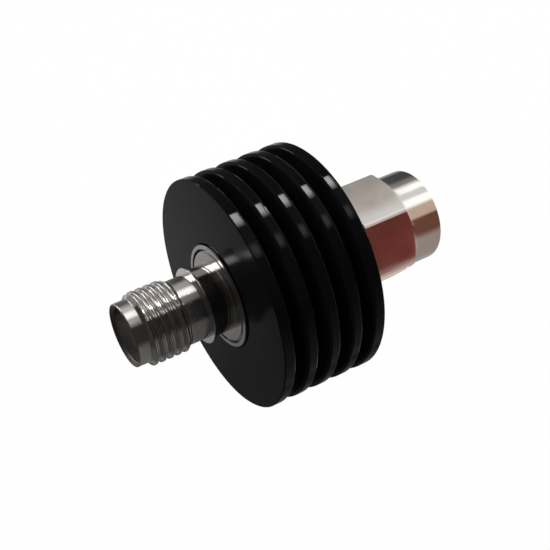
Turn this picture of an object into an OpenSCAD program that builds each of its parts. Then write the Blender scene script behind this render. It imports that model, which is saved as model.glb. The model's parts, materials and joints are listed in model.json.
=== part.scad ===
// Fixed coaxial attenuator: threaded jack on top, finned heat sink in the middle, plug with coupling nut below.
// It stands on the front rim of the coupling nut. Z runs up the axis, and all sizes are in millimetres.

/* [Heat sink] */
// Outer diameter of the fins
sink_d = 20; // [17:0.5:24]
// Length of the heat sink along the axis
sink_len = 9.2; // [8.7:0.1:12]
// Number of fins
fin_count = 5; // [3:1:6]
// Width of each groove between two fins
groove_w = 1; // [0.7:0.05:1.2]
// Diameter at the bottom of the grooves
groove_root_d = 12.6; // [11:0.2:15]
// Rounding of the fin edges that face a groove
fin_edge_r = 0.24; // [0.1:0.02:0.3]
// Edge break on the outer corners of the two end faces
sink_edge = 0.08; // [0.04:0.01:0.2]
// Countersink where the body tube comes through an end face
sink_bore_chamfer = 0.1; // [0.05:0.05:0.5]

/* [Body tube] */
// Outer diameter of the tube inside the heat sink
tube_d = 9; // [8.6:0.1:10]
// Wall of the tube
tube_wall = 0.35; // [0.25:0.05:0.5]
// How far the tube stands out of each face of the heat sink
tube_proud = 0.2; // [0.1:0.05:0.4]
// Edge break on the tube's ends
tube_edge = 0.06; // [0.03:0.01:0.12]

/* [Jack] */
// Length of the jack from the heat sink's face to its mouth
jack_len = 8.75; // [8.4:0.05:12]
// Major diameter of the jack's thread
jack_thread_d = 6.24; // [6.18:0.01:6.34]
// Length of the thread, with its chamfer and run-out
jack_thread_len = 3.6; // [2.6:0.1:3.8]
// Chamfer at the front of the thread, along the axis
jack_thread_chamfer = 0.25; // [0.1:0.05:0.4]
// Run-out at the rear of the thread, along the axis
jack_thread_runout = 0.4; // [0.2:0.05:0.7]
// Diameter of the plain lead ahead of the thread
jack_lead_d = 5.44; // [5.28:0.01:5.49]
// Length of the plain lead
jack_lead_len = 1.1; // [0.6:0.05:1.2]
// Diameter of the relief behind the thread
jack_relief_d = 5.55; // [5.2:0.05:5.8]
// Diameter of the collar behind the relief
collar_d = 6.6; // [6:0.1:7.4]
// Thickness of the collar
collar_len = 0.2; // [0.15:0.05:0.7]
// Diameter of the neck between the collar and the body tube
neck_d = 5.9; // [5.5:0.1:6.4]
// Length of the neck
neck_len = 1.9; // [1.5:0.05:2]
// Diameter of the socket that takes the mating sleeve
socket_d = 4.64; // [4.6:0.01:4.67]
// Depth of the socket
socket_depth = 1.93; // [1.88:0.01:1.98]
// Countersink at the mouth of the socket
socket_chamfer = 0.25; // [0.1:0.05:0.3]
// Edge break on the rim of the mouth
mouth_edge = 0.06; // [0.04:0.01:0.1]

/* [Plug] */
// Outer diameter of the plug's sleeve
sleeve_d = 4.57; // [4.5:0.01:4.59]
// Depth of the sleeve's end below the nut's front rim
sleeve_recess = 2.3; // [2.1:0.05:2.6]
// Diameter of the plug body's barrel
barrel_d = 6.4; // [6.3:0.02:6.5]
// Lip of the barrel ahead of the ring groove
barrel_lip = 0.69; // [0.4:0.03:0.9]
// Thickness of the gasket
gasket_t = 0.85; // [0.6:0.05:1]
// Outer diameter of the gasket
gasket_d = 6; // [5.4:0.1:6.2]

/* [Centre conductors] */
// Diameter of the insulators
insulator_d = 4.1; // [4:0.02:4.2]
// Diameter of the centre conductors inside the insulators
conductor_d = 1.27; // [1.2:0.01:1.4]
// Diameter of the plug's pin
pin_d = 0.91; // [0.9:0.01:0.94]
// How far the pin reaches out of the sleeve's end
pin_reach = 1.5; // [1.3:0.05:1.55]
// Length of the pin's tapered tip
pin_tip = 0.35; // [0.2:0.05:0.5]
// Diameter of the hole in the jack's contact
contact_bore_d = 0.94; // [0.93:0.01:0.97]
// Depth of the hole in the jack's contact
contact_bore_depth = 2.6; // [2.2:0.1:3]
// Width of the contact's four slits
contact_slit_w = 0.14; // [0.1:0.01:0.17]
// Length of the contact's slits
contact_slit_len = 2.2; // [1.5:0.1:2.2]
// Depth of the contact's end below the bottom of the socket
contact_recess = 0.1; // [0:0.05:0.25]
// Length of the forks that straddle the card
fork_len = 0.6; // [0.4:0.05:0.8]

/* [Coupling nut] */
// Width across the flats
nut_af = 8.4; // [8.2:0.1:8.6]
// Diameter to which the corners are turned off
nut_corner_d = 9.5; // [9.2:0.05:9.6]
// Diameter of the round front
nut_round_d = 8; // [7.6:0.1:8.1]
// Length of the round front
nut_round_len = 2.8; // [2:0.05:3.5]
// Whole length of the nut
nut_len = 7.9; // [7.6:0.1:9]
// Chamfer at the two ends of the hexagon, along the axis
nut_chamfer = 0.5; // [0.2:0.05:0.8]
// Rounding of the front rim
nut_rim_r = 0.3; // [0.1:0.05:0.3]
// Diameter of the plain lead-in ahead of the nut's thread
lead_in_d = 6.8; // [6.75:0.05:6.9]
// Depth of the lead-in
lead_in_depth = 0.7; // [0.5:0.05:0.75]
// Diameter of the bore at the root of the nut's thread
nut_thread_d = 6.42; // [6.36:0.02:6.46]
// Length of the nut's thread
nut_thread_len = 3.7; // [3:0.1:4]
// Lip of the nut behind the ring groove
nut_lip = 1.2; // [0.9:0.05:1.4]
// Distance from the nut's rear to the heat sink
nut_gap = 2.4; // [1.2:0.05:4]

/* [Retaining ring] */
// Outer diameter of the ring
ring_d = 7.1; // [7:0.05:7.2]
// Radial width of the ring
ring_w = 0.6; // [0.5:0.05:0.62]
// Thickness of the ring
ring_t = 0.6; // [0.4:0.05:0.7]
// Opening of the split
ring_split = 1; // [0.6:0.1:1.6]
// Free travel of the nut along the axis
nut_float = 0.3; // [0.1:0.05:0.4]

/* [Attenuator card] */
// Length of each connector's flange inside the tube
flange_len = 2.25; // [1.8:0.05:2.5]
// Chamfer on the flanges' visible rims
flange_chamfer = 0.25; // [0.1:0.05:0.4]
// Width of the card
card_w = 3.4; // [3.2:0.1:4]
// Thickness of the card
card_t = 0.5; // [0.38:0.02:0.64]
// Thickness of the metal and film on the card
film_t = 0.03; // [0.02:0.01:0.05]
// Width of the ground metal along each long edge
ground_w = 0.4; // [0.3:0.05:0.5]
// Width of the two end pads
pad_w = 1.2; // [1:0.1:1.5]
// Length of the two end pads
pad_len = 1; // [0.8:0.05:1.2]
// Height of the air channel above and below the card
channel_h = 1.3; // [1:0.05:1.8]

/* [Clearances] */
// Radial gap of bonded and pressed fits
fit_gap = 0.01; // [0.005:0.005:0.02]
// Radial running gap between nut and barrel
nut_gap_radial = 0.08; // [0.05:0.01:0.1]
// Gap round the retaining ring in its grooves
ring_gap = 0.03; // [0.02:0.01:0.05]
// Gap between the card's carrier and the flanges
carrier_gap = 0.05; // [0.02:0.01:0.1]

/* [Hidden] */

$fn = 96;
arc_steps = 5;
cut = 1;

black = [0.05, 0.05, 0.055];
steel = [0.76, 0.74, 0.71];
gold = [0.86, 0.68, 0.34];
ptfe = [0.95, 0.95, 0.93];
ceramic = [0.93, 0.92, 0.9];
film = [0.3, 0.27, 0.25];
silicone = [0.72, 0.2, 0.15];
brass = [0.8, 0.68, 0.42];

// Heights along the axis, from the nut's front rim up
sink_z0 = nut_len + nut_gap;
sink_z1 = sink_z0 + sink_len;
tube_z0 = sink_z0 - tube_proud;
tube_z1 = sink_z1 + tube_proud;
mouth_z = sink_z1 + jack_len;
socket_z = mouth_z - socket_depth;
core_z0 = tube_z0 + flange_len;
core_z1 = tube_z1 - flange_len;
card_z0 = core_z0 + 2 * carrier_gap;
card_z1 = core_z1 - 2 * carrier_gap;
ring_z1 = nut_len - nut_lip - ring_gap;
ring_z0 = ring_z1 - ring_t;
barrel_groove_z1 = ring_z1 + ring_gap;
barrel_groove_z0 = ring_z0 - nut_float - ring_gap;
barrel_z0 = barrel_groove_z0 - barrel_lip;
nut_thread_z1 = lead_in_depth + nut_thread_len;

// Radii that two pieces share
sink_r = sink_d / 2;
tube_r = tube_d / 2;
flange_r = tube_r - tube_wall - fit_gap;
insulator_r = insulator_d / 2;
conductor_r = conductor_d / 2;
barrel_r = barrel_d / 2;
ring_r1 = ring_d / 2;
ring_r0 = ring_r1 - ring_w;
fin_t = (sink_len - (fin_count - 1) * groove_w) / fin_count;
fork_slot = card_t + 2 * (film_t + fit_gap);

// Points on a round stretch of an outline, from one angle to another
function arc(centre, r, from, to) =
    [for (i = [0:arc_steps])
        let (a = from + (to - from) * i / arc_steps)
        centre + r * [cos(a), sin(a)]];

// Outline of one groove of the heat sink with the rounded fin edges on both sides of it
function groove_outline(i) =
    let (low = sink_z0 + fin_t + i * (fin_t + groove_w))
    let (high = low + groove_w)
    let (edge_r = sink_r - fin_edge_r)
    concat(
        arc([edge_r, low - fin_edge_r], fin_edge_r, 0, 90),
        [[groove_root_d / 2, low], [groove_root_d / 2, high]],
        arc([edge_r, high + fin_edge_r], fin_edge_r, -90, 0));

// Flat layer on the card's upper face, from one corner to the other
module card_layer(x0, x1, z0, z1) {
    translate([x0, card_t / 2, z0])
        cube([x1 - x0, film_t, z1 - z0]);
}

// Slot across the end of a centre conductor, where it straddles the card
module fork_cut(z0, z1) {
    translate([-conductor_d, -fork_slot / 2, z0])
        cube([2 * conductor_d, fork_slot, z1 - z0]);
}

// Half-round block that clamps one side of the card, with the air channel cut in it
module carrier(layer_t) {
    z0 = core_z0 + carrier_gap;
    height = core_z1 - core_z0 - 2 * carrier_gap;
    channel_w = card_w - 2 * ground_w;
    recess_w = card_w + 2 * fit_gap;
    recess_h = card_t / 2 + layer_t + fit_gap;
    difference() {
        translate([0, 0, z0])
            cylinder(r = flange_r, h = height);
        translate([-tube_r, -tube_d, z0 - cut])
            cube([tube_d, tube_d, height + 2 * cut]);
        translate([-channel_w / 2, -cut, z0 - cut])
            cube([channel_w, cut + card_t / 2 + channel_h, height + 2 * cut]);
        translate([-recess_w / 2, -cut, z0 - cut])
            cube([recess_w, cut + recess_h, height + 2 * cut]);
    }
}

module heat_sink() {
    bore_r = tube_r + fit_gap;
    outline = concat(
        [[bore_r + sink_bore_chamfer, sink_z0],
         [sink_r - sink_edge, sink_z0],
         [sink_r, sink_z0 + sink_edge]],
        [for (i = [0:fin_count - 2]) each groove_outline(i)],
        [[sink_r, sink_z1 - sink_edge],
         [sink_r - sink_edge, sink_z1],
         [bore_r + sink_bore_chamfer, sink_z1],
         [bore_r, sink_z1 - sink_bore_chamfer],
         [bore_r, sink_z0 + sink_bore_chamfer]]);
    color(black)
        rotate_extrude()
            polygon(outline);
}

module body_tube() {
    inner_r = tube_r - tube_wall;
    color(steel)
        rotate_extrude()
            polygon([
                [inner_r, tube_z0],
                [tube_r - tube_edge, tube_z0],
                [tube_r, tube_z0 + tube_edge],
                [tube_r, tube_z1 - tube_edge],
                [tube_r - tube_edge, tube_z1],
                [inner_r, tube_z1]]);
}

module jack_body() {
    thread_r = jack_thread_d / 2;
    relief_r = jack_relief_d / 2;
    lead_r = jack_lead_d / 2;
    lead_z = mouth_z - jack_lead_len;
    thread_z = lead_z - jack_thread_len;
    collar_z = tube_z1 + neck_len;
    color(steel)
        rotate_extrude()
            polygon([
                [insulator_r, core_z1],
                [flange_r, core_z1],
                [flange_r, tube_z1 - flange_chamfer],
                [flange_r - flange_chamfer, tube_z1],
                [neck_d / 2, tube_z1],
                [neck_d / 2, collar_z],
                [collar_d / 2, collar_z],
                [collar_d / 2, collar_z + collar_len],
                [relief_r, collar_z + collar_len],
                [relief_r, thread_z],
                [thread_r, thread_z + jack_thread_runout],
                [thread_r, lead_z - jack_thread_chamfer],
                [lead_r, lead_z],
                [lead_r, mouth_z - mouth_edge],
                [lead_r - mouth_edge, mouth_z],
                [socket_d / 2 + socket_chamfer, mouth_z],
                [socket_d / 2, mouth_z - socket_chamfer],
                [socket_d / 2, socket_z],
                [insulator_r, socket_z]]);
}

module jack_insulator() {
    color(ptfe)
        difference() {
            translate([0, 0, core_z1])
                cylinder(r = insulator_r - fit_gap, h = socket_z - core_z1);
            translate([0, 0, core_z1 - cut])
                cylinder(r = conductor_r + fit_gap, h = socket_z - core_z1 + 2 * cut);
        }
}

module jack_contact() {
    top_z = socket_z - contact_recess;
    bottom_z = card_z1 - fork_len;
    color(gold)
        difference() {
            translate([0, 0, bottom_z])
                cylinder(r = conductor_r, h = top_z - bottom_z);
            translate([0, 0, top_z - contact_bore_depth])
                cylinder(d = contact_bore_d, h = contact_bore_depth + cut);
            for (turn = [0, 90])
                rotate([0, 0, turn])
                    translate([-conductor_d, -contact_slit_w / 2, top_z - contact_slit_len])
                        cube([2 * conductor_d, contact_slit_w, contact_slit_len + cut]);
            fork_cut(bottom_z - cut, card_z1 + carrier_gap);
        }
}

module plug_body() {
    groove_r = ring_r0 - ring_gap;
    color(steel)
        rotate_extrude()
            polygon([
                [insulator_r, sleeve_recess],
                [sleeve_d / 2, sleeve_recess],
                [sleeve_d / 2, barrel_z0],
                [barrel_r, barrel_z0],
                [barrel_r, barrel_groove_z0],
                [groove_r, barrel_groove_z0],
                [groove_r, barrel_groove_z1],
                [barrel_r, barrel_groove_z1],
                [barrel_r, tube_z0],
                [flange_r - flange_chamfer, tube_z0],
                [flange_r, tube_z0 + flange_chamfer],
                [flange_r, core_z0],
                [insulator_r, core_z0]]);
}

module plug_insulator() {
    color(ptfe)
        difference() {
            translate([0, 0, sleeve_recess])
                cylinder(r = insulator_r - fit_gap, h = core_z0 - sleeve_recess);
            translate([0, 0, sleeve_recess - cut])
                cylinder(r = conductor_r + fit_gap, h = core_z0 - sleeve_recess + 2 * cut);
        }
}

module plug_pin() {
    tip_z = sleeve_recess - pin_reach;
    top_z = card_z0 + fork_len;
    pin_r = pin_d / 2;
    color(gold)
        difference() {
            rotate_extrude()
                polygon([
                    [0, tip_z],
                    [pin_r / 2, tip_z],
                    [pin_r, tip_z + pin_tip],
                    [pin_r, sleeve_recess],
                    [conductor_r, sleeve_recess],
                    [conductor_r, top_z],
                    [0, top_z]]);
            fork_cut(card_z0 - carrier_gap, top_z + cut);
        }
}

module coupling_nut() {
    round_r = nut_round_d / 2;
    corner_r = nut_corner_d / 2;
    bore_r = barrel_r + nut_gap_radial;
    groove_r = ring_r1 + ring_gap;
    hex_z = nut_round_len + nut_chamfer;
    turned = concat(
        [[0, 0]],
        arc([round_r - nut_rim_r, nut_rim_r], nut_rim_r, -90, 0),
        [[round_r, nut_round_len],
         [corner_r, hex_z],
         [corner_r, nut_len - nut_chamfer],
         [round_r, nut_len],
         [0, nut_len]]);
    bored = [
        [0, -cut],
        [lead_in_d / 2, -cut],
        [lead_in_d / 2, lead_in_depth],
        [nut_thread_d / 2, lead_in_depth],
        [nut_thread_d / 2, nut_thread_z1],
        [bore_r, nut_thread_z1],
        [bore_r, ring_z0 - ring_gap],
        [groove_r, ring_z0 - ring_gap],
        [groove_r, ring_z1 + ring_gap],
        [bore_r, ring_z1 + ring_gap],
        [bore_r, nut_len + cut],
        [0, nut_len + cut]];
    color(steel)
        difference() {
            intersection() {
                rotate_extrude()
                    polygon(turned);
                rotate([0, 0, 30])
                    cylinder(d = nut_af / cos(30), h = nut_len, $fn = 6);
            }
            rotate_extrude()
                polygon(bored);
        }
}

module retaining_ring() {
    color(steel)
        difference() {
            translate([0, 0, ring_z0])
                cylinder(r = ring_r1, h = ring_t);
            translate([0, 0, ring_z0 - cut])
                cylinder(r = ring_r0, h = ring_t + 2 * cut);
            translate([0, -ring_split / 2, ring_z0 - cut])
                cube([ring_d, ring_split, ring_t + 2 * cut]);
        }
}

module nut_gasket() {
    color(silicone)
        difference() {
            translate([0, 0, barrel_z0 - gasket_t])
                cylinder(d = gasket_d, h = gasket_t);
            translate([0, 0, barrel_z0 - gasket_t - cut])
                cylinder(r = sleeve_d / 2 + fit_gap, h = gasket_t + 2 * cut);
        }
}

module chip_card() {
    color(ceramic)
        translate([-card_w / 2, -card_t / 2, card_z0])
            cube([card_w, card_t, card_z1 - card_z0]);
}

module resistor_film() {
    half_w = card_w / 2 - ground_w;
    color(film)
        card_layer(-half_w, half_w, card_z0 + pad_len, card_z1 - pad_len);
}

module jack_pad() {
    color(gold)
        card_layer(-pad_w / 2, pad_w / 2, card_z1 - pad_len, card_z1);
}

module plug_pad() {
    color(gold)
        card_layer(-pad_w / 2, pad_w / 2, card_z0, card_z0 + pad_len);
}

module ground_strip_left() {
    color(gold)
        card_layer(-card_w / 2, ground_w - card_w / 2, card_z0 + pad_len, card_z1 - pad_len);
}

module ground_strip_right() {
    color(gold)
        card_layer(card_w / 2 - ground_w, card_w / 2, card_z0 + pad_len, card_z1 - pad_len);
}

module carrier_front() {
    color(brass)
        carrier(film_t);
}

module carrier_rear() {
    color(brass)
        rotate([0, 0, 180])
            carrier(0);
}

heat_sink();
body_tube();
jack_body();
jack_insulator();
jack_contact();
plug_body();
plug_insulator();
plug_pin();
coupling_nut();
retaining_ring();
nut_gasket();
chip_card();
resistor_film();
jack_pad();
plug_pad();
ground_strip_left();
ground_strip_right();
carrier_front();
carrier_rear();
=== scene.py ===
"""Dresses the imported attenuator: cut threads, turned steel, black anodised fins and a plain studio."""
import json
import math
import bmesh
import bpy
from mathutils import Euler, Matrix, Vector


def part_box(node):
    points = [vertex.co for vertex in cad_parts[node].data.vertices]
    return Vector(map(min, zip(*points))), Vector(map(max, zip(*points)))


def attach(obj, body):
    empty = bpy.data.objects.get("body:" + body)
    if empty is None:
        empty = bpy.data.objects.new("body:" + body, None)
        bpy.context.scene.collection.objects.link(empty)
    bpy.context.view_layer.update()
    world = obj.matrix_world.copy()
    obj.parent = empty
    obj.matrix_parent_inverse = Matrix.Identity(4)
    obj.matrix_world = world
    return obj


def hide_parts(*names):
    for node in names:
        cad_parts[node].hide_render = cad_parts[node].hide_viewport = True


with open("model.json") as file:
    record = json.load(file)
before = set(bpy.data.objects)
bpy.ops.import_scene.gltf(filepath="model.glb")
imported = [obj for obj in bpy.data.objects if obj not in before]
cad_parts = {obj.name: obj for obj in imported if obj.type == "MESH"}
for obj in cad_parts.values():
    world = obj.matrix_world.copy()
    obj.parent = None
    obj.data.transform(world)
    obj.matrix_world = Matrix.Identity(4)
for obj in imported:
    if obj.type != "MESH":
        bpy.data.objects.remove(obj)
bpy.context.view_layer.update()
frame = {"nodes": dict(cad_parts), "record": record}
nodes = frame["nodes"]

# Sizes in millimetres, as in the part's source
MM = 0.001
NECK_R = 2.95
NECK_LEN = 1.9
COLLAR_R = 3.3
COLLAR_LEN = 0.2
FLANGE_CHAMFER = 0.25
RELIEF_R = 2.775
THREAD_R = 3.12
THREAD_LEN = 3.6
THREAD_RUNOUT = 0.4
THREAD_CHAMFER = 0.25
LEAD_R = 2.72
LEAD_LEN = 1.1
MOUTH_EDGE = 0.06
SOCKET_R = 2.32
SOCKET_DEPTH = 1.93
SOCKET_CHAMFER = 0.25
INSULATOR_R = 2.05
NUT_ROUND_R = 4.0
NUT_CORNER_R = 4.75
NUT_FLAT_R = 4.2
SINK_R = 10.0
FIN_COUNT = 5
FIN_W = 1.04
FIN_PITCH = 2.04
NUT_THREAD_ROOT_R = 3.21
NUT_THREAD_CREST_R = 2.9
NUT_THREAD_LOW = 0.7
NUT_THREAD_LEN = 3.7

# Thread of 36 turns to the inch, right-handed, and the fineness of the turned meshes
PITCH = 25.4 / 36
THREAD_ROOT_R = 2.88
CREST_SHARE = 0.25
ROOT_SHARE = 0.9
RINGS_PER_TURN = 24
SEGMENTS = 128
EDGE_BREAK = 0.04
SMOOTH_UP_TO = 80

# Camera, as fitted to the photograph's outline
CAMERA_PLACE = (-8.755, -78.726, 48.204)
CAMERA_AZIMUTH = -5.7
CAMERA_ELEVATION = 16.731
CAMERA_ROLL = -113.197
CAMERA_LENS = 67.138
CAMERA_SHIFT = (0.1890, 0.0967)

# Dim room round the part, with the heights of its window
WALL_R = 160.0
WALL_TOP = 230.0
WINDOW_LOW = 55.0
WINDOW_HIGH = 90.0

# Heights of the floor's mats, one over the other
LOW_MAT = 0.01
MIDDLE_MAT = 0.02
TOP_MAT = 0.03

# Distances from each wall at which its mirrored mat begins or ends
NUT_FRONT_NEAR = -0.4
NUT_HEX_NEAR = 4.7
NUT_HEX_FAR = 18.0
NUT_FLAT_NEAR = 4.6
NUT_FLAT_FAR = 17.0
RELIEF_NEAR = 54.0
THREAD_NEAR = 74.0
LEAD_NEAR = 97.5
LEAD_FAR = 400.0

# Floor's radius, and the shares of light that the floor and the room give
FLOOR_R = 1500.0
FLOOR_GLOW = 0.985
ROOM_LIGHT = 0.55

# Lamp's place and size in metres, and its power in watts
LAMP_PLACE = (0.22, -0.16, 0.16)
LAMP_SIZE = 0.25
LAMP_POWER = 0.9


def node_span(name):
    """Low height, high height and outer radius of a CAD node, in millimetres."""
    low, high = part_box(name)
    return low.z / MM, high.z / MM, high.x / MM


# Node helpers

def put(tree, value, socket):
    """Links a socket or sets a plain value on an input."""
    if isinstance(value, bpy.types.NodeSocket):
        tree.links.new(value, socket)
    else:
        socket.default_value = value


def math_node(tree, operation, *values):
    """Result of one Math node."""
    node = tree.nodes.new("ShaderNodeMath")
    node.operation = operation
    for value, socket in zip(values, node.inputs):
        put(tree, value, socket)
    return node.outputs[0]


def ramp_node(tree, value, low, high, start=0.0, end=1.0, curve="LINEAR"):
    """Value stretched from one range to another and held at its ends."""
    node = tree.nodes.new("ShaderNodeMapRange")
    node.interpolation_type = curve
    put(tree, value, node.inputs["Value"])
    put(tree, low, node.inputs["From Min"])
    put(tree, high, node.inputs["From Max"])
    put(tree, start, node.inputs["To Min"])
    put(tree, end, node.inputs["To Max"])
    return node.outputs["Result"]


def axis_parts(tree, place):
    """Coordinates of a place, and its distance from the axis."""
    split = tree.nodes.new("ShaderNodeSeparateXYZ")
    put(tree, place, split.inputs[0])
    x, y, z = split.outputs
    squares = math_node(tree, "ADD", math_node(tree, "MULTIPLY", x, x), math_node(tree, "MULTIPLY", y, y))
    return x, y, z, math_node(tree, "SQRT", squares)


def seen_directly(tree):
    """1 where the camera, a gloss or glass sees a thing, and 0 where it only gives light."""
    path = tree.nodes.new("ShaderNodeLightPath")
    sent_on = math_node(tree, "MAXIMUM", path.outputs["Is Glossy Ray"], path.outputs["Is Transmission Ray"])
    return math_node(tree, "MAXIMUM", path.outputs["Is Camera Ray"], sent_on)


def new_socket(tree, name, kind, side="INPUT", value=None):
    """Named socket on a node group's interface."""
    socket = tree.interface.new_socket(name=name, in_out=side, socket_type=kind)
    if value is not None:
        socket.default_value = value
    return socket


# Turned pieces

def rounded(outline, reach, steps=3):
    """Closed outline with each corner eased, and held on both sides so that the faces stay flat."""
    largest_share = 0.4
    hold_reach = 1.5
    hold_share = 0.45
    points = [Vector(point) for point in outline]
    eased = []
    for i, corner in enumerate(points):
        before = points[i - 1] - corner
        after = points[(i + 1) % len(points)] - corner
        foot = min(reach, largest_share * before.length, largest_share * after.length)
        start = corner + before.normalized() * foot
        end = corner + after.normalized() * foot
        eased.append(corner + before.normalized() * min(hold_reach * foot, hold_share * before.length))
        for step in range(steps + 1):
            t = step / steps
            eased.append((1 - t) ** 2 * start + 2 * t * (1 - t) * corner + t * t * end)
        eased.append(corner + after.normalized() * min(hold_reach * foot, hold_share * after.length))
    return eased


def subdivided(outline, low, high, step):
    """Outline with extra points along the stretches between two heights."""
    result = []
    for i, point in enumerate(outline):
        after = outline[(i + 1) % len(outline)]
        result.append(point)
        within = low <= min(point.y, after.y) and max(point.y, after.y) <= high
        inside = within and min(point.x, after.x) > SOCKET_R
        count = math.ceil((after - point).length / step) if inside else 1
        for k in range(1, count):
            result.append(point.lerp(after, k / count))
    return result


def turned_mesh(name, outline):
    """Ring turned from a closed outline of radius and height in millimetres."""
    count = len(outline)
    places = []
    for i in range(SEGMENTS):
        angle = 2 * math.pi * i / SEGMENTS
        for point in outline:
            places.append((point.x * math.cos(angle) * MM, point.x * math.sin(angle) * MM, point.y * MM))
    faces = []
    for i in range(SEGMENTS):
        here = i * count
        there = (i + 1) % SEGMENTS * count
        for k in range(count):
            after = (k + 1) % count
            faces.append((here + k, here + after, there + after, there + k))
    mesh = bpy.data.meshes.new(name)
    mesh.from_pydata(places, [], faces)
    shell = bmesh.new()
    shell.from_mesh(mesh)
    bmesh.ops.recalc_face_normals(shell, faces=shell.faces)
    shell.to_mesh(mesh)
    shell.free()
    return mesh


def link_object(name, mesh):
    """Object at the origin that shows a mesh."""
    obj = bpy.data.objects.new(name, mesh)
    bpy.context.scene.collection.objects.link(obj)
    return obj


def soften(obj):
    """Smooth shading with sharp inner corners."""
    obj.data.shade_smooth()
    obj.data.set_sharp_from_angle(angle=math.radians(SMOOTH_UP_TO))


def jack_outline():
    """Outline of the jack's body before its thread is cut."""
    core_z, mouth_z, flange_r = node_span("jack_body")
    tube_z = node_span("body_tube")[1]
    collar_z = tube_z + NECK_LEN
    lead_z = mouth_z - LEAD_LEN
    thread_z = lead_z - THREAD_LEN
    socket_z = mouth_z - SOCKET_DEPTH
    corners = [
        (INSULATOR_R, core_z),
        (flange_r, core_z),
        (flange_r, tube_z - FLANGE_CHAMFER),
        (flange_r - FLANGE_CHAMFER, tube_z),
        (NECK_R, tube_z),
        (NECK_R, collar_z),
        (COLLAR_R, collar_z),
        (COLLAR_R, collar_z + COLLAR_LEN),
        (RELIEF_R, collar_z + COLLAR_LEN),
        (RELIEF_R, thread_z),
        (THREAD_R, thread_z + THREAD_RUNOUT),
        (THREAD_R, lead_z - THREAD_CHAMFER),
        (LEAD_R, lead_z),
        (LEAD_R, mouth_z - MOUTH_EDGE),
        (LEAD_R - MOUTH_EDGE, mouth_z),
        (SOCKET_R + SOCKET_CHAMFER, mouth_z),
        (SOCKET_R, mouth_z - SOCKET_CHAMFER),
        (SOCKET_R, socket_z),
        (INSULATOR_R, socket_z)]
    eased = rounded(corners, EDGE_BREAK)
    outline = subdivided(eased, thread_z - EDGE_BREAK, lead_z + EDGE_BREAK, PITCH / RINGS_PER_TURN)
    return outline, thread_z, lead_z


def nut_thread_outline():
    """Outline of the sleeve that carries the nut's thread, set a little into the nut's wall."""
    low = NUT_THREAD_LOW
    high = NUT_THREAD_LOW + NUT_THREAD_LEN
    slope = NUT_THREAD_ROOT_R - NUT_THREAD_CREST_R
    wall_r = NUT_THREAD_ROOT_R + EDGE_BREAK
    corners = [
        (wall_r, low + EDGE_BREAK),
        (wall_r, high),
        (NUT_THREAD_ROOT_R, high),
        (NUT_THREAD_CREST_R, high - slope),
        (NUT_THREAD_CREST_R, low + slope),
        (NUT_THREAD_ROOT_R, low + EDGE_BREAK)]
    points = [Vector(corner) for corner in corners]
    return subdivided(points, low, high, PITCH / RINGS_PER_TURN), low, high


# Threads

def thread_surface(tree, given, x, y, z):
    """Radius of the right-handed helical surface at a place."""
    turn = math_node(tree, "DIVIDE", math_node(tree, "ARCTAN2", y, x), 2 * math.pi)
    climb = math_node(tree, "DIVIDE", z, given["Pitch"])
    phase = math_node(tree, "FRACT", math_node(tree, "SUBTRACT", climb, turn))
    from_crest = math_node(tree, "ABSOLUTE", math_node(tree, "MULTIPLY_ADD", phase, 2.0, -1.0))
    return ramp_node(tree, from_crest, CREST_SHARE, ROOT_SHARE, given["Crest radius"], given["Root radius"],
                     "SMOOTHSTEP")


def thread_tree():
    """Geometry Nodes tree that cuts a helical thread into a turned wall."""
    tree = bpy.data.node_groups.new("helical_thread", "GeometryNodeTree")
    new_socket(tree, "Geometry", "NodeSocketGeometry")
    for name in ("Pitch", "Crest radius", "Root radius", "Low", "High", "Side"):
        new_socket(tree, name, "NodeSocketFloat")
    new_socket(tree, "Finish", "NodeSocketMaterial")
    new_socket(tree, "Geometry", "NodeSocketGeometry", "OUTPUT")
    given = tree.nodes.new("NodeGroupInput").outputs
    place = tree.nodes.new("GeometryNodeInputPosition").outputs[0]
    x, y, z, radius = axis_parts(tree, place)
    surface = thread_surface(tree, given, x, y, z)
    side = given["Side"]
    signed_wall = math_node(tree, "MULTIPLY", side, radius)
    signed_surface = math_node(tree, "MULTIPLY", side, surface)
    cut = math_node(tree, "MULTIPLY", side, math_node(tree, "MINIMUM", signed_wall, signed_surface))
    scale = math_node(tree, "DIVIDE", cut, radius)
    join = tree.nodes.new("ShaderNodeCombineXYZ")
    put(tree, math_node(tree, "MULTIPLY", x, scale), join.inputs[0])
    put(tree, math_node(tree, "MULTIPLY", y, scale), join.inputs[1])
    put(tree, z, join.inputs[2])
    inside = math_node(tree, "MULTIPLY", math_node(tree, "GREATER_THAN", z, given["Low"]),
                       math_node(tree, "LESS_THAN", z, given["High"]))
    move = tree.nodes.new("GeometryNodeSetPosition")
    put(tree, given["Geometry"], move.inputs["Geometry"])
    put(tree, inside, move.inputs["Selection"])
    put(tree, join.outputs[0], move.inputs["Position"])
    real = tree.nodes.new("GeometryNodeRealizeInstances")
    put(tree, move.outputs[0], real.inputs[0])
    finish = tree.nodes.new("GeometryNodeSetMaterial")
    put(tree, real.outputs[0], finish.inputs["Geometry"])
    put(tree, given["Finish"], finish.inputs["Material"])
    result = tree.nodes.new("NodeGroupOutput")
    put(tree, finish.outputs[0], result.inputs[0])
    return tree


def thread_sizes(crest_r, root_r, low, high, side, finish):
    """Values for the thread's tree; side is 1 for an outer thread and -1 for an inner one."""
    return {"Pitch": PITCH * MM, "Crest radius": crest_r * MM, "Root radius": root_r * MM,
            "Low": low * MM, "High": high * MM, "Side": side, "Finish": finish}


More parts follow.
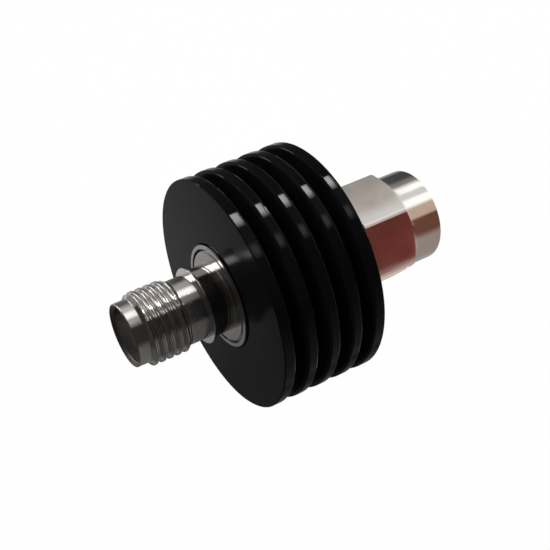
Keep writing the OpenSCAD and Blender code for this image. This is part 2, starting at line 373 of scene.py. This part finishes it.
def threaded(name, outline, tree, sizes):
    """Turned piece with its thread cut by the tree and turned into a plain mesh."""
    blank = link_object(name + "_blank", turned_mesh(name + "_blank", outline))
    cutter = blank.modifiers.new("thread", "NODES")
    cutter.node_group = tree
    for item in tree.interface.items_tree:
        if item.in_out == "INPUT" and item.name in sizes:
            cutter[item.identifier] = sizes[item.name]
    depsgraph = bpy.context.evaluated_depsgraph_get()
    mesh = bpy.data.meshes.new_from_object(blank.evaluated_get(depsgraph))
    bpy.data.objects.remove(blank)
    mesh.name = name
    piece = link_object(name, mesh)
    soften(piece)
    return piece


def split_jack_finish(piece, bore, faced):
    """Gives the mouth's rim and bore a dull finish darkened with painted shade, and the flange a faced one.
    """
    rim_r = (LEAD_R - MOUTH_EDGE) * MM
    socket_z = (node_span("jack_body")[1] - SOCKET_DEPTH - EDGE_BREAK) * MM
    flange_z = (node_span("body_tube")[1] + 0.1 * EDGE_BREAK) * MM
    flange_r = (NECK_R + EDGE_BREAK) * MM
    piece.data.materials.append(bore)
    bore_index = len(piece.data.materials) - 1
    piece.data.materials.append(faced)
    faced_index = len(piece.data.materials) - 1
    for face in piece.data.polygons:
        radius = face.center.xy.length
        # Faces of the mouth's rim and bore get the finish whose dark colour is painted shade
        if face.center.z > socket_z and radius < rim_r:
            face.material_index = bore_index
        if face.center.z < flange_z and radius > flange_r:
            face.material_index = faced_index


def make_jack(tree, steel, bore, faced):
    """Jack body with its thread cut."""
    outline, low, high = jack_outline()
    sizes = thread_sizes(THREAD_R, THREAD_ROOT_R, low, high, 1.0, steel)
    piece = threaded("threaded_jack", outline, tree, sizes)
    split_jack_finish(piece, bore, faced)
    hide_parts("jack_body")
    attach(piece, "attenuator")


def make_nut_thread(tree, steel):
    """Thread inside the coupling nut."""
    outline, low, high = nut_thread_outline()
    sizes = thread_sizes(NUT_THREAD_CREST_R, NUT_THREAD_ROOT_R, low, high, -1.0, steel)
    piece = threaded("nut_inner_thread", outline, tree, sizes)
    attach(piece, "nut")


# Shader groups

def turning_marks():
    """Shader group: fine rings that a lathe leaves, by radius and height."""
    tree = bpy.data.node_groups.new("turning_marks", "ShaderNodeTree")
    new_socket(tree, "Rings per metre", "NodeSocketFloat", value=9000.0)
    new_socket(tree, "Height", "NodeSocketFloat", "OUTPUT")
    given = tree.nodes.new("NodeGroupInput").outputs
    place = tree.nodes.new("ShaderNodeTexCoord").outputs["Object"]
    z, radius = axis_parts(tree, place)[2:]
    along = math_node(tree, "MULTIPLY", math_node(tree, "ADD", z, radius), given["Rings per metre"])
    noise = tree.nodes.new("ShaderNodeTexNoise")
    noise.noise_dimensions = "1D"
    noise.inputs["Scale"].default_value = 1.0
    noise.inputs["Detail"].default_value = 3.0
    noise.inputs["Roughness"].default_value = 0.6
    put(tree, along, noise.inputs["W"])
    result = tree.nodes.new("NodeGroupOutput")
    put(tree, noise.outputs[0], result.inputs["Height"])
    return tree


def handling_marks():
    """Shader group: soft smudges and small specks left by handling."""
    tree = bpy.data.node_groups.new("handling_marks", "ShaderNodeTree")
    new_socket(tree, "Smudges per metre", "NodeSocketFloat", value=250.0)
    new_socket(tree, "Low", "NodeSocketFloat", value=0.1)
    new_socket(tree, "High", "NodeSocketFloat", value=0.2)
    new_socket(tree, "Roughness", "NodeSocketFloat", "OUTPUT")
    new_socket(tree, "Mask", "NodeSocketFloat", "OUTPUT")
    given = tree.nodes.new("NodeGroupInput").outputs
    place = tree.nodes.new("ShaderNodeTexCoord").outputs["Object"]
    noise = tree.nodes.new("ShaderNodeTexNoise")
    noise.inputs["Detail"].default_value = 4.0
    put(tree, place, noise.inputs["Vector"])
    put(tree, given["Smudges per metre"], noise.inputs["Scale"])
    mask = ramp_node(tree, noise.outputs[0], 0.35, 0.65)
    result = tree.nodes.new("NodeGroupOutput")
    put(tree, ramp_node(tree, mask, 0.0, 1.0, given["Low"], given["High"]), result.inputs["Roughness"])
    put(tree, mask, result.inputs["Mask"])
    return tree


LATHE_RINGS = turning_marks()
SMUDGES = handling_marks()


class Finish:
    """One material with its Principled shader and the helpers that feed it."""

    def __init__(self, name, colour, metallic=0.0):
        self.material = bpy.data.materials.new(name)
        self.material.use_nodes = True
        self.tree = self.material.node_tree
        self.shader = self.tree.nodes["Principled BSDF"]
        self.shader.inputs["Base Color"].default_value = (*colour, 1.0)
        self.shader.inputs["Metallic"].default_value = metallic

    def group(self, tree, **values):
        """Places a shader group with its own values."""
        node = self.tree.nodes.new("ShaderNodeGroup")
        node.node_tree = tree
        for name, value in values.items():
            node.inputs[name.replace("_", " ")].default_value = value
        return node

    def feed(self, name, value):
        """Links a value to one of the shader's sockets."""
        put(self.tree, value, self.shader.inputs[name])

    def tint(self, mask, low, high):
        """Base colour that shifts between two shades by a mask."""
        mix = self.tree.nodes.new("ShaderNodeMix")
        mix.data_type = "RGBA"
        put(self.tree, mask, mix.inputs["Factor"])
        colours = [socket for socket in mix.inputs if socket.type == "RGBA"]
        colours[0].default_value = (*low, 1.0)
        colours[1].default_value = (*high, 1.0)
        shown = [socket for socket in mix.outputs if socket.type == "RGBA"]
        self.feed("Base Color", shown[0])

    def end_faces(self):
        """Mask of the faces that look along the axis."""
        place = self.tree.nodes.new("ShaderNodeTexCoord")
        parts = self.tree.nodes.new("ShaderNodeSeparateXYZ")
        put(self.tree, place.outputs["Normal"], parts.inputs[0])
        return math_node(self.tree, "GREATER_THAN", parts.outputs["Z"], 0.9)

    def wear(self, per_metre, low, high, dark, light):
        """Roughness and shade that drift with handling."""
        marks = self.group(SMUDGES, Smudges_per_metre=per_metre, Low=low, High=high)
        self.feed("Roughness", marks.outputs["Roughness"])
        self.tint(marks.outputs["Mask"], dark, light)
        return marks.outputs["Roughness"]

    def turn(self, per_metre, strength, depth=0.01):
        """Relief of fine rings, with their depth in millimetres."""
        node = self.tree.nodes.new("ShaderNodeBump")
        node.inputs["Strength"].default_value = strength
        node.inputs["Distance"].default_value = depth * MM
        marks = self.group(LATHE_RINGS, Rings_per_metre=per_metre)
        put(self.tree, marks.outputs["Height"], node.inputs["Height"])
        self.feed("Normal", node.outputs[0])


def black_anodised():
    """Black anodised fins, glossy on their rims and softer on their end faces."""
    black = Finish("black_anodised_satin", (0.003, 0.003, 0.0033))
    black.shader.inputs["Specular IOR Level"].default_value = 0.036
    roughness = black.wear(180.0, 0.045, 0.065, (0.0022, 0.0022, 0.0025), (0.0036, 0.0036, 0.004))
    black.feed("Roughness", math_node(black.tree, "MULTIPLY_ADD", black.end_faces(), 0.13, roughness))
    black.turn(12000.0, 0.01)
    return black.material


def stainless():
    """Fine turned, polished stainless steel."""
    steel = Finish("turned_stainless", (0.62, 0.59, 0.56), 1.0)
    steel.wear(600.0, 0.09, 0.13, (0.60, 0.57, 0.54), (0.65, 0.62, 0.59))
    steel.turn(20000.0, 0.04)
    return steel.material


def faced_stainless():
    """Duller stainless steel of the jack's flange and the body tube."""
    faced = Finish("faced_stainless", (0.36, 0.343, 0.325), 1.0)
    faced.wear(800.0, 0.13, 0.19, (0.33, 0.314, 0.298), (0.39, 0.372, 0.353))
    faced.turn(9000.0, 0.05)
    return faced.material


def bored_stainless():
    """Dull stainless steel inside the jack's mouth, darkened with painted shade of the recess."""
    # The dark base colour and its two tones are painted shade inside the mouth, over a rougher finish
    bore = Finish("dull_stainless_bore", (0.2, 0.185, 0.17), 1.0)
    bore.wear(900.0, 0.42, 0.52, (0.18, 0.165, 0.15), (0.22, 0.205, 0.19))
    bore.turn(20000.0, 0.1)
    return bore.material


def gold_plate():
    """Gold plate of the contacts and pads."""
    gold = Finish("plated_gold", (0.83, 0.62, 0.28), 1.0)
    gold.wear(900.0, 0.14, 0.24, (0.80, 0.58, 0.25), (0.85, 0.65, 0.31))
    gold.turn(30000.0, 0.08)
    return gold.material


def milled_brass():
    """Milled brass of the carrier blocks."""
    brass = Finish("milled_brass", (0.70, 0.55, 0.28), 1.0)
    brass.wear(700.0, 0.25, 0.38, (0.66, 0.51, 0.25), (0.73, 0.58, 0.31))
    return brass.material


def waxy_ptfe():
    """Waxy white beads that hold the contacts."""
    ptfe = Finish("waxy_white_bead", (0.88, 0.88, 0.86))
    ptfe.wear(1200.0, 0.38, 0.5, (0.86, 0.86, 0.84), (0.90, 0.90, 0.88))
    ptfe.turn(9000.0, 0.15, 0.02)
    return ptfe.material


def ground_ceramic():
    """Ground ceramic of the attenuator's card."""
    ceramic = Finish("ground_ceramic", (0.85, 0.84, 0.80))
    ceramic.wear(3000.0, 0.45, 0.6, (0.83, 0.82, 0.78), (0.87, 0.86, 0.82))
    return ceramic.material


def resistive_film():
    """Thin dark film on the card."""
    film = Finish("resistive_film", (0.12, 0.10, 0.09))
    film.wear(4000.0, 0.4, 0.55, (0.11, 0.09, 0.08), (0.14, 0.12, 0.11))
    return film.material


def moulded_silicone():
    """Soft red gasket."""
    rubber = Finish("moulded_silicone", (0.50, 0.08, 0.05))
    rubber.wear(1500.0, 0.5, 0.65, (0.47, 0.07, 0.045), (0.53, 0.09, 0.055))
    return rubber.material


def make_finishes():
    """Materials by the record's slot names, with the jack's two further ones."""
    makers = {"black_anodised": black_anodised, "stainless": stainless, "faced": faced_stainless,
              # The bore's finish is steel darkened with painted shade
              "bore": bored_stainless, "gold_plate": gold_plate, "brass_block": milled_brass,
              "ptfe": waxy_ptfe, "ceramic": ground_ceramic, "film": resistive_film,
              "silicone": moulded_silicone}
    return {slot: maker() for slot, maker in makers.items()}


def dress_cad_nodes(finishes):
    """Gives every CAD node the finish of its slot in the record."""
    for part in frame["record"]["subparts"]:
        obj = nodes[part["node"]]
        obj.data.materials.clear()
        slot = "faced" if part["node"] == "body_tube" else part["material_slot"]
        obj.data.materials.append(finishes[slot])


# Studio

def make_camera():
    """Camera at the photograph's place and turn."""
    lens = bpy.data.cameras.new("studio_camera")
    lens.lens = CAMERA_LENS
    lens.shift_x, lens.shift_y = CAMERA_SHIFT
    lens.clip_start = 0.001
    lens.clip_end = 10.0
    camera = bpy.data.objects.new("studio_camera", lens)
    bpy.context.scene.collection.objects.link(camera)
    aim = Euler((math.radians(90 - CAMERA_ELEVATION), 0, math.radians(CAMERA_AZIMUTH))).to_matrix()
    roll = Matrix.Rotation(math.radians(CAMERA_ROLL), 3, "Z")
    camera.matrix_world = Matrix.Translation(Vector(CAMERA_PLACE) * MM) @ (aim @ roll).to_4x4()
    bpy.context.scene.camera = camera


def disc(name, radius):
    """Flat disc at the floor's height, as a mesh object."""
    turns = 180
    angles = [2 * math.pi * i / turns for i in range(turns)]
    places = [(radius * math.cos(angle) * MM, radius * math.sin(angle) * MM, 0.0) for angle in angles]
    mesh = bpy.data.meshes.new(name)
    mesh.from_pydata(places, [], [list(range(turns))])
    return link_object(name, mesh)


def glow_material():
    """Emission material that takes its colour from a card's own attribute."""
    material = bpy.data.materials.new("studio_card")
    material.use_nodes = True
    tree = material.node_tree
    tree.nodes.clear()
    colour = tree.nodes.new("ShaderNodeAttribute")
    colour.attribute_name = "glow"
    glow = tree.nodes.new("ShaderNodeEmission")
    put(tree, colour.outputs["Color"], glow.inputs["Color"])
    result = tree.nodes.new("ShaderNodeOutputMaterial")
    put(tree, glow.outputs[0], result.inputs["Surface"])
    return material


def card(name, material, lines):
    """Studio card of ruled lines, each with its two ends and their colours, seen in reflections alone."""
    places = [Vector(end) * MM for line in lines for end in line[:2]]
    colours = [colour for line in lines for colour in line[2:]]
    faces = [(2 * i, 2 * i + 1, 2 * i + 3, 2 * i + 2) for i in range(len(lines) - 1)]
    mesh = bpy.data.meshes.new(name)
    mesh.from_pydata(places, [], faces)
    glow = mesh.attributes.new("glow", "FLOAT_COLOR", "POINT")
    for point, colour in zip(glow.data, colours):
        point.color = (*colour, 1.0)
    mesh.materials.append(material)
    obj = link_object(name, mesh)
    obj.visible_camera = False
    obj.visible_diffuse = False
    obj.visible_shadow = False
    obj.visible_transmission = False
    obj.visible_volume_scatter = False


def grey(level):
    """Neutral colour of one level."""
    return (level, level, level)


def band_colour(bands, place):
    """Colour at a place across a card: even on each band, blended between one band and the next."""
    end, colour = bands[0][1:]
    for next_start, next_end, next_colour in bands[1:]:
        if place <= end:
            return colour
        if place < next_start:
            share = (place - end) / (next_start - end)
            return tuple(a + (b - a) * share for a, b in zip(colour, next_colour))
        end, colour = next_end, next_colour
    return colour


def heading(turn):
    """Level direction at a turn from the camera's side, positive towards the picture's top."""
    azimuth = math.radians(CAMERA_AZIMUTH + turn)
    return Vector((math.sin(azimuth), -math.cos(azimuth)))


def mirrored(start, normal):
    """Level direction in which an upright wall mirrors the camera's view at one place."""
    view = (start - Vector(CAMERA_PLACE[:2])).normalized()
    return view - 2 * view.dot(normal) * normal


def mirrored_line(start, normal, near, far, height, colour, fade=1.0):
    """Line on the floor that an upright wall at one place mirrors towards the camera."""
    away = mirrored(start, normal)
    faded = tuple(level * fade for level in colour)
    return [(*(start + away * near), height), (*(start + away * far), height), colour, faded]


def round_mat(name, material, radius, near, far, height, bands):
    """Mat on the floor whose bands a turned wall mirrors as straight bands along the axis.

    The bands run by the wall's own turn from the camera's side, negative towards the picture's top.
    """
    lines = []
    for turn in range(bands[0][0], bands[-1][1] + 1):
        normal = heading(-turn)
        lines.append(mirrored_line(normal * radius, normal, near, far, height, band_colour(bands, turn)))
    card(name, material, lines)


def fin_mat(name, material, low, high, height, bands):
    """Mat on the floor whose bands the fins' rims between two heights mirror, by their turn."""
    lines = []
    for half_turn in range(2 * bands[0][0], 2 * bands[-1][1] + 1):
        normal = heading(-half_turn / 2)
        start = normal * SINK_R
        distance = (start - Vector(CAMERA_PLACE[:2])).length
        near, far = [z * distance / (CAMERA_PLACE[2] - z) for z in (low, high)]
        lines.append(mirrored_line(start, normal, near, far, height, band_colour(bands, half_turn / 2)))
    card(name, material, lines)


def flat_mat(name, material, azimuth, near, far, height, bands, fade=1.0):
    """Mat on the floor that one flat of the nut mirrors, with bands by the place across the flat."""
    steps = 24
    normal = heading(azimuth - CAMERA_AZIMUTH)
    along = heading(azimuth - CAMERA_AZIMUTH + 90)
    half = NUT_FLAT_R * math.tan(math.radians(30))
    lines = []
    for i in range(steps + 1):
        place = half * (2 * i / steps - 1)
        start = normal * NUT_FLAT_R + along * place
        lines.append(mirrored_line(start, normal, near, far, height, band_colour(bands, place), fade))
    card(name, material, lines)


def wall(name, material, low, high, bands):
    """Upright card all round the part, with bands by the turn from the camera's side."""
    lines = []
    step = 2
    for turn in range(bands[0][0], bands[-1][1] + 1, step):
        place = heading(turn) * WALL_R
        colour = band_colour(bands, turn)
        lines.append([(*place, low), (*place, high), colour, colour])
    card(name, material, lines)


def make_nut_mats(material):
    """Mats that the coupling nut mirrors."""
    warm = (0.76, 0.58, 0.48)
    brown = (0.2, 0.09, 0.06)
    dusk = (0.42, 0.354, 0.318)
    rose = (0.67, 0.52, 0.47)
    red = (0.22, 0.053, 0.043)
    maroon = (0.18, 0.053, 0.04)
    sand = (0.61, 0.56, 0.52)
    clay = (0.47, 0.45, 0.43)
    round_mat("mat_of_nut_front", material, NUT_ROUND_R, NUT_FRONT_NEAR, NUT_HEX_NEAR, TOP_MAT, [
        (-100, -76, grey(0.44)), (-66, -50, grey(0.085)), (-43, -40, grey(0.3)), (-33, -28, grey(1.65)),
        (-25, -19, grey(0.95)), (-16, -9, grey(1.6)), (-5, 6, warm), (9, 27, brown), (35, 64, dusk),
        (70, 100, grey(0.42))])
    round_mat("mat_of_nut_corners", material, NUT_CORNER_R, NUT_HEX_NEAR, NUT_HEX_FAR, MIDDLE_MAT, [
        (-100, -50, grey(0.4)), (-40, -25, grey(0.6)), (-15, -6.3, grey(1.2)), (-5.5, 0, rose), (4, 45, red),
        (52, 100, rose)])
    flat_mat("mat_of_upper_flat", material, 30, NUT_FLAT_NEAR, NUT_FLAT_FAR, TOP_MAT, [
        (-2.5, -2.1, grey(1.05)), (-1.5, -1.4, grey(0.82)), (-0.6, 0.4, sand), (1.6, 2.5, clay)])
    flat_mat("mat_of_lower_flat", material, -30, NUT_FLAT_NEAR, NUT_FLAT_FAR, TOP_MAT, [
        (-2.5, -2.1, rose), (-1.9, 0.6, red), (1.6, 2.5, maroon)], fade=0.68)


def make_fin_mats(material):
    """Dim mat that the fins' rims mirror, with two small lit spots for each fin."""
    low, high = node_span("heat_sink")[:2]
    fin_mat("mat_of_fins", material, low - 0.5, high, MIDDLE_MAT, [
        (-100, -72, grey(0.6)), (-66, -31, grey(0.12)), (-25, -14, grey(0.9)), (-8, 22, grey(0.08)),
        (34, 55, grey(0.6)), (60, 100, grey(0.2))])
    for fin in range(FIN_COUNT):
        middle = high - FIN_W / 2 - fin * FIN_PITCH
        fin_mat(f"spot_of_fin_{fin}", material, middle - 0.2, middle + 0.45, TOP_MAT, [
            (-31, -31, grey(0.2)), (-30, -26.5, grey(85.0)), (-23, -23, grey(0.9))])
        fin_mat(f"faint_spot_of_fin_{fin}", material, middle - 0.2, middle + 0.4, TOP_MAT, [
            (-15, -15, grey(0.9)), (-12.5, -10, grey(9.0)), (-7, -7, grey(0.1))])


def make_jack_mats(material):
    """Mats that the jack's relief, thread and lead mirror."""
    round_mat("mat_of_relief", material, RELIEF_R, RELIEF_NEAR, THREAD_NEAR, LOW_MAT, [
        (-100, -80, grey(0.2)), (-70, -56, grey(0.08)), (-47, -37, grey(0.5)), (-31.5, -24.5, grey(1.7)),
        (-20, -14, grey(0.2)), (-7, 24, grey(0.01)), (31, 100, grey(0.1))])
    round_mat("mat_of_thread", material, THREAD_R, THREAD_NEAR, LEAD_NEAR, LOW_MAT, [
        (-100, -75, grey(0.3)), (-64, -50, grey(0.17)), (-33, -25, grey(0.8)), (-20, -12, grey(0.16)),
        (-5, 22, grey(0.02)), (30, 56, grey(0.06)), (66, 100, grey(0.14))])
    round_mat("mat_of_lead", material, LEAD_R, LEAD_NEAR, LEAD_FAR, LOW_MAT, [
        (-100, -75, grey(0.26)), (-68, -57, grey(0.14)), (-44, -38, grey(0.75)), (-32, -25.5, grey(1.7)),
        (-20, -15, grey(0.6)), (-5, 21, grey(0.04)), (34, 100, grey(0.18))])


def make_room(material):
    """Dim walls and ceiling, with one bright window on the picture's upper side."""
    shade = [(-112, -60, grey(0.055)), (-48, 12, grey(0.025))]
    wall("low_wall", material, 1.0, WINDOW_LOW, [(-180, -150, grey(0.12))] + shade + [
        (20, 40, grey(0.14)), (48, 66, grey(0.55)), (80, 150, grey(0.35)), (166, 180, grey(0.4))])
    wall("window_wall", material, WINDOW_LOW, WINDOW_HIGH, [
        (-180, -178, grey(0.35)), (-174, -150, grey(0.22))] + shade + [
        (70, 82, grey(0.04)), (92, 120, grey(6.0)), (126, 176, grey(0.62)), (178, 180, grey(0.45))])
    wall("upper_wall", material, WINDOW_HIGH, WALL_TOP, [(-180, -150, grey(0.12))] + shade + [
        (20, 40, grey(0.1)), (48, 66, grey(0.3)), (80, 150, grey(0.3)), (164, 180, grey(0.06))])
    ceiling = grey(0.05)
    card("ceiling", material, [
        [(-WALL_R, -WALL_R, WALL_TOP), (-WALL_R, WALL_R, WALL_TOP), ceiling, ceiling],
        [(WALL_R, -WALL_R, WALL_TOP), (WALL_R, WALL_R, WALL_TOP), ceiling, ceiling]])


def make_cards():
    """Cards that the part mirrors: floor mats for each of its walls, and a dim room."""
    material = glow_material()
    make_nut_mats(material)
    make_fin_mats(material)
    make_jack_mats(material)
    make_room(material)


def make_floor():
    """Pale floor that stays white to the camera and keeps a faint shadow."""
    obj = disc("floor", FLOOR_R)
    material = bpy.data.materials.new("pale_floor")
    material.use_nodes = True
    tree = material.node_tree
    shader = tree.nodes["Principled BSDF"]
    shader.inputs["Base Color"].default_value = (0.9, 0.9, 0.9, 1.0)
    shader.inputs["Roughness"].default_value = 0.6
    shader.inputs["Specular IOR Level"].default_value = 0.0
    glow = tree.nodes.new("ShaderNodeEmission")
    glow.inputs["Color"].default_value = (1.0, 1.0, 1.0, 1.0)
    mix = tree.nodes.new("ShaderNodeMixShader")
    put(tree, math_node(tree, "MULTIPLY", seen_directly(tree), FLOOR_GLOW), mix.inputs["Fac"])
    put(tree, shader.outputs[0], mix.inputs[1])
    put(tree, glow.outputs[0], mix.inputs[2])
    put(tree, mix.outputs[0], tree.nodes["Material Output"].inputs["Surface"])
    obj.data.materials.append(material)


def make_world():
    """Even studio light, white where the camera, metal or glass sees it."""
    world = bpy.data.worlds.new("studio_world")
    bpy.context.scene.world = world
    world.use_nodes = True
    tree = world.node_tree
    light = tree.nodes["Background"]
    light.inputs["Color"].default_value = (1.0, 1.0, 1.0, 1.0)
    put(tree, ramp_node(tree, seen_directly(tree), 0.0, 1.0, ROOM_LIGHT, 1.0), light.inputs["Strength"])


def make_lamp():
    """Large soft lamp, not seen in reflections."""
    light = bpy.data.lights.new("soft_lamp", "AREA")
    light.shape = "DISK"
    light.size = LAMP_SIZE
    light.energy = LAMP_POWER
    lamp = bpy.data.objects.new("soft_lamp", light)
    bpy.context.scene.collection.objects.link(lamp)
    place = Vector(LAMP_PLACE)
    lamp.location = place
    lamp.rotation_euler = (-place).to_track_quat("-Z", "Y").to_euler()
    lamp.visible_glossy = False


finishes = make_finishes()
dress_cad_nodes(finishes)
cutter = thread_tree()
make_jack(cutter, finishes["stainless"], finishes["bore"], finishes["faced"])
make_nut_thread(cutter, finishes["stainless"])
make_camera()
make_floor()
make_cards()
make_world()
make_lamp()
bpy.context.scene.view_settings.view_transform = "Standard"
